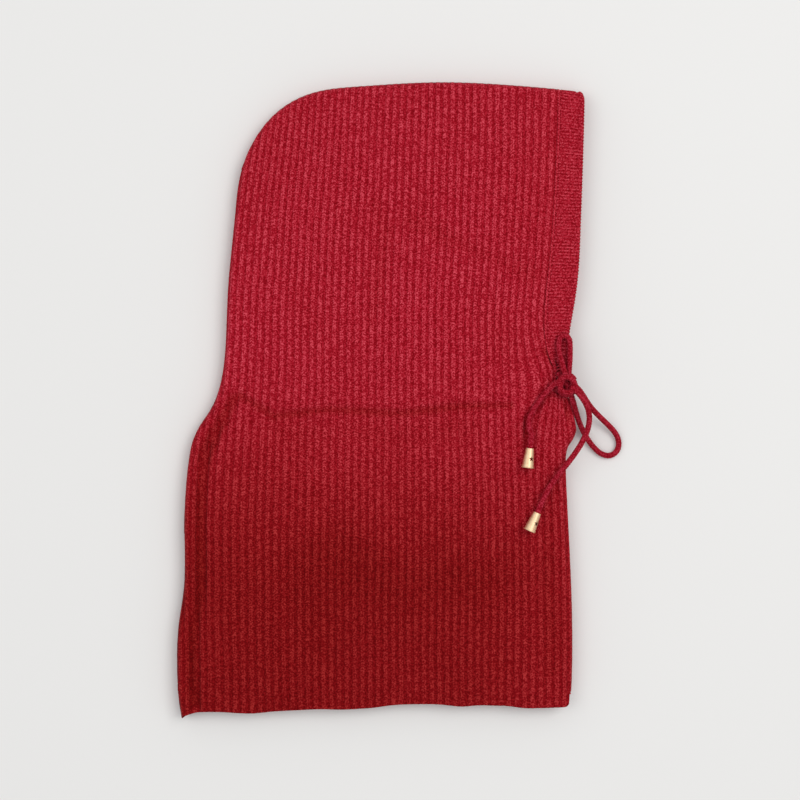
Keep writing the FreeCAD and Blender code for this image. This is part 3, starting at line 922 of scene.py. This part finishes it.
def panel(name, node, hem_lift, upper):
    """A closed panel of cloth.  hem_lift moves its hem up from the outline, column by column."""
    low = hem_at + hem_lift(column_x(shares, hem_at))
    length = crown_at - low
    places = np.array([row_shares(span) for span in length]).T
    y = low + places * length
    x = column_x(shares, y)
    from_back, from_front = edge_distances(x, y)
    height = rolled(from_back) * (1 - closed_front(y) * (1 - rolled(from_front)))
    rim = np.exp(-np.maximum(front_x(y) - x, 0) / 1.2) * (1 - closed_front(y))
    rise = CLOSED_RISE - 0.9 * rim
    if upper:
        level = smoothstep(np.minimum(from_back, np.where(y < 24, from_front, 99)), 1.0, 7.0)
        rise = rise + lie(x, y, from_back) * level
        hem_curl = np.exp(-(y - low) / 2.2)
        rise = rise - 0.9 * hem_curl * level
    z = SEAM_TOP + rise * height
    # How far each point dips below the cloth's top: the material paints shade into these folds.
    fold = np.clip((CLOSED_RISE - 0.6 - rise) / 2.2, 0, 1) * np.clip(from_back / 6, 0, 1) * (y > low + 4)
    outer = np.stack([x, y, z], axis=-1)
    across = np.gradient(outer, axis=1)
    along = np.gradient(outer, axis=0)
    normal = np.cross(across, along)
    normal /= np.linalg.norm(normal, axis=-1, keepdims=True) + 1e-12
    inner = (outer - normal * KNIT)[::COARSE_ROWS, ::COARSE_COLUMNS]
    inner[..., 2] = np.maximum(inner[..., 2], SEAM_TOP)
    rib = rib_count(x, y)
    course = y / COURSE
    proud = smoothstep(np.minimum(from_back, from_front), 0.3, 2.5) * 0.75 + 0.25
    proud = proud * smoothstep(y - low, 0.3, 3.0)
    points = np.concatenate([outer.reshape(-1, 3), inner.reshape(-1, 3)])
    if not upper:
        points[:, 2] = TOP - points[:, 2]
    counts = np.stack([rib, course], axis=-1)
    knit = np.concatenate([counts.reshape(-1, 2), counts[::COARSE_ROWS, ::COARSE_COLUMNS].reshape(-1, 2)])
    inner_zeros = np.zeros(inner.shape[0] * inner.shape[1])
    faces = closed_grid_faces(upper)
    piece = new_piece(name, points, faces, knit=knit, fields={
        "rib": knit[:, 0],
        "outer": np.concatenate([proud.ravel(), inner_zeros]),
        "fold": np.concatenate([fold.ravel(), inner_zeros]) if upper else np.zeros(len(points))})
    run_tree(piece, RELIEF_TREE, Relief=RIB_RELIEF * MM, Material=RIB_KNIT)
    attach(piece, "root")
    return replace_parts(piece, node)


def closed_grid_faces(upper):
    """Quads of the fine and the coarse grid, and the many-sided faces that join their edges."""
    fine = np.arange(ROWS * COLUMNS).reshape(ROWS, COLUMNS)
    rows = (ROWS - 1) // COARSE_ROWS + 1
    columns = (COLUMNS - 1) // COARSE_COLUMNS + 1
    coarse = np.arange(rows * columns).reshape(rows, columns) + ROWS * COLUMNS

    def quads(grid, flip):
        sides = [grid[:-1, :-1], grid[:-1, 1:], grid[1:, 1:], grid[1:, :-1]]
        if flip:
            sides.reverse()
        return np.stack(sides, -1).reshape(-1, 4).tolist()

    def rim(fine_line, coarse_line, step):
        strips = []
        for i in range(len(coarse_line) - 1):
            outside = fine_line[i * step:(i + 1) * step + 1].tolist()
            strips.append(outside[::-1] + [int(coarse_line[i]), int(coarse_line[i + 1])])
        return strips

    faces = quads(fine, False) + quads(coarse, True)
    faces += rim(fine[0], coarse[0], COARSE_COLUMNS)
    faces += rim(fine[:, -1], coarse[:, -1], COARSE_ROWS)
    faces += rim(fine[-1, ::-1], coarse[-1, ::-1], COARSE_COLUMNS)
    faces += rim(fine[::-1, 0], coarse[::-1, 0], COARSE_ROWS)
    if not upper:
        faces = [face[::-1] for face in faces]
    return faces


HEM_STEPS = [(-59.0, 26.0), (26.0, 26.0), (79.0, 18.0)]      # middle and half length of each rise


def lower_hem(x):
    """How far the lower hem is set back from the outline: a little less than nothing."""
    return -0.8 * smoothstep(x, -141.5, -137.0)


def upper_hem(x):
    """How far the upper hem is set back from the outline."""
    back = lower_hem(x) - 0.5
    for middle, half in HEM_STEPS:
        back = back + 1.8 * np.exp(-((x - middle) / half) ** 4)
    return back


right_panel = panel("right_side_panel_knit", "right_side_panel", upper_hem, True)
left_panel = panel("left_side_panel_knit", "left_side_panel", lower_hem, False)

# %% [markdown]
# ## The face band
# The band is a strip of finer knit, folded lengthwise round the cord and linked to the hood by both
# its edges.  Its ridges run across it.  Its section is a long thin U: the outer line goes from the
# seam, over the cord and back, and the inner line comes back inside it.  The section is swept up one
# side of the face, over the crown, and down the other.

# %% Band section and sweep
BAND_TOP_Z = TOP - 0.15
TUNNEL = 2.2
TUNNEL_IN = 2.8                         # from the fold to the middle of the tunnel
BAND_FOOT = 18.8
BAND_WIDTH = 17.7                       # folded, at half its height


def ring_point(radius, degrees):
    angle = math.radians(degrees)
    return (TUNNEL_IN - radius * math.cos(angle), UPPER_RUN + radius * math.sin(angle))


def band_section(width):
    """Outer and inner line of the folded strip: pairs of distance from the fold and height."""
    flat = [(width, BAND_TOP_Z - 0.75), (width - 0.5, BAND_TOP_Z - 0.25), (width - 1.6, BAND_TOP_Z)]
    flat += [(width * share + 6.5 * (1 - share), BAND_TOP_Z - 0.1) for share in (0.7, 0.45, 0.2)]
    flat += [(6.3, BAND_TOP_Z - 0.25), (5.5, BAND_TOP_Z - 0.85), (4.8, BAND_TOP_Z - 0.75)]
    bulge = [ring_point(2.8, a) for a in (105, 80, 55, 30, 0, -30, -60, -90, -120)]
    under = [(5.6, TOP - 3.7), (6.5, TOP - 3.1), (width * 0.5 + 3, TOP - 2.95), (width, TOP - 2.8)]
    outer = flat + bulge + under
    lining = TOP - 1.5
    inside = [(width, lining + 0.04), (width - 1.0, lining + 0.03), (width - 2.0, lining + 0.03)]
    inside += [(width * share + 6.5 * (1 - share), lining + 0.03) for share in (0.7, 0.45, 0.2)]
    inside += [(5.9, lining + 0.02), (5.4, lining - 0.02), (5.0, lining - 0.15)]
    inside += [ring_point(TUNNEL, a) for a in (120, 90, 60, 30, 0, -30, -60, -90, -125)]
    inside += [(5.2, lining - 0.4), (6.0, lining - 0.06)]
    inside += [(width * 0.5 + 3, lining - 0.04), (width, lining - 0.04)]
    return outer, inside


band_ys = np.arange(23.0, 222.0, 0.8)
fold_at = known(band_ys, edge_along_y("face_band", 1, band_ys, UPPER_RUN))
seam_at = known(band_ys, edge_along_y("face_band", -1, band_ys, SKIN_HEIGHT))
band_xs = np.arange(120.0, 144.4, 0.3)
band_crown = known(band_xs, edge_along_x("face_band", 1, band_xs, MIDDLE), above=200.0)


def band_points(rows_up, rows_over):
    """The swept section, a row of points to each station, and each station's distance along."""
    stations = []
    travelled = []
    distance = 0.0
    last = None
    path = [("up", t) for t in np.linspace(0, 1, rows_up)]
    path += [("over", t) for t in np.linspace(0, 1, rows_over + 2)[1:-1]]
    path += [("down", t) for t in np.linspace(1, 0, rows_up)]
    for stage, t in path:
        rise = t if stage != "over" else 1.0
        y_line = BAND_FOOT + (BAND_TURN - BAND_FOOT) * rise
        fold = np.interp(y_line, *fold_at)
        width = fold - np.interp(y_line, *seam_at)
        outer, inner = band_section(width)
        loop = np.array(outer + inner[::-1])
        x = fold - loop[:, 0]
        z = loop[:, 1]
        crown_y = np.interp(x, *band_crown) - MIDDLE
        y = BAND_FOOT + (crown_y - BAND_FOOT) * rise
        if stage == "down":
            z = TOP - z
        elif stage == "over":
            angle = math.pi * t
            reach = z - MIDDLE
            y = y + reach * math.sin(angle) * MIDDLE / CLOSED_RISE * 0.95
            z = MIDDLE + reach * math.cos(angle)
        row = np.stack([x, y, z], -1)
        if last is not None:
            distance += np.linalg.norm(row[3] - last[3])
        last = row
        stations.append(row)
        travelled.append(distance)
    return np.array(stations), np.array(travelled)


def face_band():
    rows, travelled = band_points(400, 48)
    outer_line = np.array(band_section(BAND_WIDTH)[0])
    outer_count = len(outer_line)
    count = rows.shape[1]
    index = np.arange(rows.shape[0] * count).reshape(rows.shape[0], count)
    ahead = np.roll(index, -1, axis=1)
    sides = [index[:-1], ahead[:-1], ahead[1:], index[1:]]
    faces = np.stack(sides, -1).reshape(-1, 4).tolist()
    for row, flip in ((index[0], False), (index[-1], True)):
        for i in range(outer_count - 1):
            cap = [row[i], row[count - 1 - i], row[count - 2 - i], row[i + 1]]
            faces.append([int(v) for v in (cap[::-1] if flip else cap)])
    ridge = np.repeat(travelled[:, None] / BAND_STITCH, count, axis=1)
    section = rows[len(rows) // 4]
    steps = np.linalg.norm(np.diff(section, axis=0, append=section[:1]), axis=1)
    across = np.concatenate([[0], np.cumsum(steps)[:-1]]) / COURSE
    is_outer = np.zeros(count)
    is_outer[:outer_count] = 1.0
    is_outer[[0, outer_count - 1]] = 0.3
    piece = new_piece("face_band_folded", rows.reshape(-1, 3), faces, knit=np.stack(
        [ridge, np.repeat(across[None], len(rows), axis=0)], -1).reshape(-1, 2),
        fields={"rib": ridge, "outer": np.repeat(is_outer[None], len(rows), axis=0)})
    run_tree(piece, RELIEF_TREE, Relief=BAND_RELIEF * MM, Unevenness=0.5, Material=BAND_KNIT)
    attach(piece, "root")
    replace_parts(piece, "face_band")
    return piece, travelled[-1], float(np.sum(np.linalg.norm(np.diff(outer_line, axis=0), axis=1)))


band, band_length, band_cut_width = face_band()
print(f"face band: cut {band_cut_width:.0f} mm wide and {band_length:.0f} mm long, then folded")

# %% [markdown]
# ## Linked seams
# A linked seam is a row of slanting yarn loops over the joint of two knitted edges.  Each loop is a
# small lozenge of yarn, and the row is the same lozenge set along a line, over a core that fills the
# joint.  Instances are what Geometry Nodes is for, so the seam is a line and a tree.

# %% Seam tree
def linked_seam_tree():
    tree, line, size = new_tree("linked seam", Core=0.0006, Spacing=0.0018, Loop=0.0009, Material=None)
    curve = add_node(tree, "GeometryNodeMeshToCurve", inputs={"Mesh": line})
    even = add_node(tree, "GeometryNodeResampleCurve", {"mode": "LENGTH"}, {
        "Curve": curve.outputs["Curve"], "Length": size["Spacing"]})
    ring = add_node(tree, "GeometryNodeCurvePrimitiveCircle", inputs={
        "Resolution": 8, "Radius": size["Core"]})
    core = add_node(tree, "GeometryNodeCurveToMesh", inputs={
        "Curve": even.outputs["Curve"], "Profile Curve": ring.outputs["Curve"], "Fill Caps": True})
    shaded = add_node(tree, "GeometryNodeStoreNamedAttribute", {"data_type": "FLOAT"}, {
        "Geometry": core.outputs["Mesh"], "Name": "relief", "Value": 0.25})
    loop = add_node(tree, "GeometryNodeMeshUVSphere", inputs={
        "Segments": 8, "Rings": 6, "Radius": size["Loop"]})
    proud = add_node(tree, "GeometryNodeStoreNamedAttribute", {"data_type": "FLOAT"}, {
        "Geometry": loop.outputs["Mesh"], "Name": "relief", "Value": 0.85})
    tangent = add_node(tree, "GeometryNodeInputTangent")
    facing = add_node(tree, "FunctionNodeAlignRotationToVector", {"axis": "X"}, {
        "Vector": tangent.outputs["Tangent"]})
    slant = add_node(tree, "FunctionNodeRotateRotation", {"rotation_space": "LOCAL"}, {
        "Rotation": facing.outputs["Rotation"], "Rotate By": (0.0, 0.0, math.radians(38))})
    loops = add_node(tree, "GeometryNodeInstanceOnPoints", inputs={
        "Points": even.outputs["Curve"], "Instance": proud.outputs["Geometry"],
        "Rotation": slant.outputs["Rotation"], "Scale": (1.45, 0.62, 1.0)})
    together = tree.nodes.new("GeometryNodeJoinGeometry")
    for made in (shaded.outputs["Geometry"], loops.outputs["Instances"]):
        tree.links.new(made, together.inputs["Geometry"])
    end_tree(tree, together.outputs["Geometry"], size["Material"])
    return tree


SEAM_TREE = linked_seam_tree()


def linked_seam(name, node, line, core=0.75, loop=0.95):
    """A row of linked loops along a line, in millimetres."""
    piece = new_piece(name, line, edges=[(i, i + 1) for i in range(len(line) - 1)])
    run_tree(piece, SEAM_TREE, Core=core * MM, Spacing=COURSE * MM, Loop=loop * MM, Material=SEAM_YARN)
    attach(piece, "root")
    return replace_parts(piece, node)


SEAM_IN = 1.0                          # the seam's middle, in from the closed edge


def inward(line, distance):
    """The line moved to its right-hand side."""
    line = np.asarray(line, float)
    way = np.gradient(line, axis=0)
    way /= np.linalg.norm(way, axis=1, keepdims=True)
    return line + np.stack([way[:, 1], -way[:, 0]], -1) * distance


back_ys = np.arange(-223.0, ARC_FOOT, 3.0)
crown_xs = np.concatenate([np.arange(-98.0, -84, 0.8), np.arange(-84, -40, 2.0), np.arange(-40, 128, 6.0)])
front_ys_down = np.arange(20.0, -211.0, -3.0)
closed_line = list(zip(back_x(back_ys), back_ys)) + list(zip(crown_xs, np.interp(crown_xs, *crown)))
closed_line = [(x, y, MIDDLE) for x, y in inward(closed_line, SEAM_IN)]
front_line = [(x, y, MIDDLE) for x, y in inward(list(zip(front_x(front_ys_down), front_ys_down)), SEAM_IN)]
linked_seam("crown_and_back_linking", "crown_and_back_seam", closed_line)
linked_seam("front_neck_linking", "front_neck_seam", front_line)

BAND_SEAM_Z = TOP - 1.35
seam_ys = np.arange(21.0, 210.0, 3.0)
seam_xs = np.interp(seam_ys, *seam_at) - 0.7
seam_top = float(np.interp(seam_xs[-1], *crown)) - CLOSED_RISE
rising = [(x, y, BAND_SEAM_Z) for x, y in zip(seam_xs, seam_ys)]
reach = BAND_SEAM_Z - MIDDLE
turning = [
    (seam_xs[-1], seam_top + reach * math.sin(angle), MIDDLE + reach * math.cos(angle))
    for angle in np.linspace(0, math.pi, 13)
]
falling = [(x, y, TOP - z) for x, y, z in reversed(rising)]
linked_seam("face_band_linking", "face_band_seam", rising + turning + falling, 0.95, 1.05)

# %% [markdown]
# ## Area of the panels
# Each panel was cut to shape and laid flat; the band was cut as a straight strip and folded.

def area_of(outline):
    x, y = np.transpose(outline)
    return abs(np.dot(x, np.roll(y, 1)) - np.dot(y, np.roll(x, 1))) / 2


def column_point(share, y):
    return column_x(np.array([share]), np.array([y]))[0], y


outline = list(zip(column_x(shares, hem_at), hem_at))
outline += [column_point(1.0, y) for y in np.linspace(hem_at[-1], crown_at[-1], 60)]
outline += list(zip(column_x(shares, crown_at)[::-1], crown_at[::-1]))
outline += [column_point(0.0, y) for y in np.linspace(ARC_FOOT, LOWEST, 60)]
PANEL_AREA = area_of(outline) * MM ** 2
print(f"each panel: {PANEL_AREA * 1e4:.0f} cm2 of knit")

# %% [markdown]
# ## The bells
# The two cord-end bells keep their design shape, because each is a machined part: a hollow cone with a
# rolled rim and a pierced star.  They are plated in pale gold, drawn smooth lengthwise and handled
# often, so the plating is bright with fine streaks and is a little duller where fingers rub it.

# %% Plated metal
def plated_metal():
    material = bpy.data.materials.new("pale_gold_plating")
    material.use_nodes = True
    tree = material.node_tree
    shader = tree.nodes["Principled BSDF"]
    turned = add_node(tree, "ShaderNodeMapping", inputs={
        "Vector": object_place(tree), "Scale": (1.0, 0.12, 1.0)})
    streaks = add_node(tree, "ShaderNodeTexNoise", inputs={
        "Vector": turned.outputs["Vector"], "Scale": 2600.0, "Detail": 4.0})
    streak = Field(tree, streaks.outputs["Fac"])
    rub = noise(tree, 340.0, 2.0)
    ramp = add_node(tree, "ShaderNodeValToRGB", inputs={"Fac": streak * 0.6 + rub * 0.4})
    ramp.color_ramp.elements[0].position = 0.25
    ramp.color_ramp.elements[0].color = (0.72, 0.46, 0.25, 1)
    ramp.color_ramp.elements[1].position = 0.75
    ramp.color_ramp.elements[1].color = (0.98, 0.78, 0.52, 1)
    join(tree, ramp.outputs["Color"], shader.inputs["Base Color"])
    join(tree, rub * 0.22 + streak * 0.14 + 0.32, shader.inputs["Roughness"])
    shader.inputs["Metallic"].default_value = 1.0
    bump = add_node(tree, "ShaderNodeBump", inputs={
        "Height": streak, "Strength": 0.35, "Distance": 0.12 * MM})
    join(tree, bump.outputs["Normal"], shader.inputs["Normal"])
    return material


plating = plated_metal()
for side in ("upper", "lower"):
    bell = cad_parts[f"cord_end_bell_{side}"]
    bell.data.materials.clear()
    bell.data.materials.append(plating)
    for face in bell.data.polygons:
        face.material_index = 0
print("bells plated")

# %% [markdown]
# ## Floor and light
# A plain pale floor and soft studio light: an even sky so that nothing is black, one large panel high
# on the right that models the ribs and throws soft shadows to the left, and a weaker one opposite.

# %% Studio
def plain_floor():
    bpy.ops.mesh.primitive_plane_add(size=8, location=(0, 0, -0.3 * MM))
    floor = bpy.context.object
    floor.name = "floor"
    material = bpy.data.materials.new("pale_floor")
    material.use_nodes = True
    shader = material.node_tree.nodes["Principled BSDF"]
    shader.inputs["Base Color"].default_value = (0.80, 0.79, 0.765, 1)
    shader.inputs["Roughness"].default_value = 0.9
    shader.inputs["Specular IOR Level"].default_value = 0.1
    floor.data.materials.append(material)
    floor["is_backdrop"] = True


def soft_panel(name, place, size, power):
    """A square light that looks at the middle of the snood."""
    light = bpy.data.lights.new(name, "AREA")
    light.size = size
    light.energy = power
    holder = bpy.data.objects.new(name, light)
    holder.location = place
    holder.rotation_euler = (-Vector(place)).to_track_quat("-Z", "Y").to_euler()
    bpy.context.scene.collection.objects.link(holder)


plain_floor()
soft_panel("key", (1.3, 0.7, 2.4), 1.6, 30.0)
soft_panel("fill", (-1.4, 0.2, 2.4), 1.6, 11.0)
world = bpy.data.worlds.new("studio")
world.use_nodes = True
world.node_tree.nodes["Background"].inputs["Color"].default_value = (0.96, 0.97, 1.0, 1)
world.node_tree.nodes["Background"].inputs["Strength"].default_value = 0.66
bpy.context.scene.world = world
bpy.context.scene.view_settings.view_transform = "Standard"

# %% Sizes, then finish
low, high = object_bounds()
print("visual box, mm:", [round(v / MM, 1) for corner in (low, high) for v in corner])
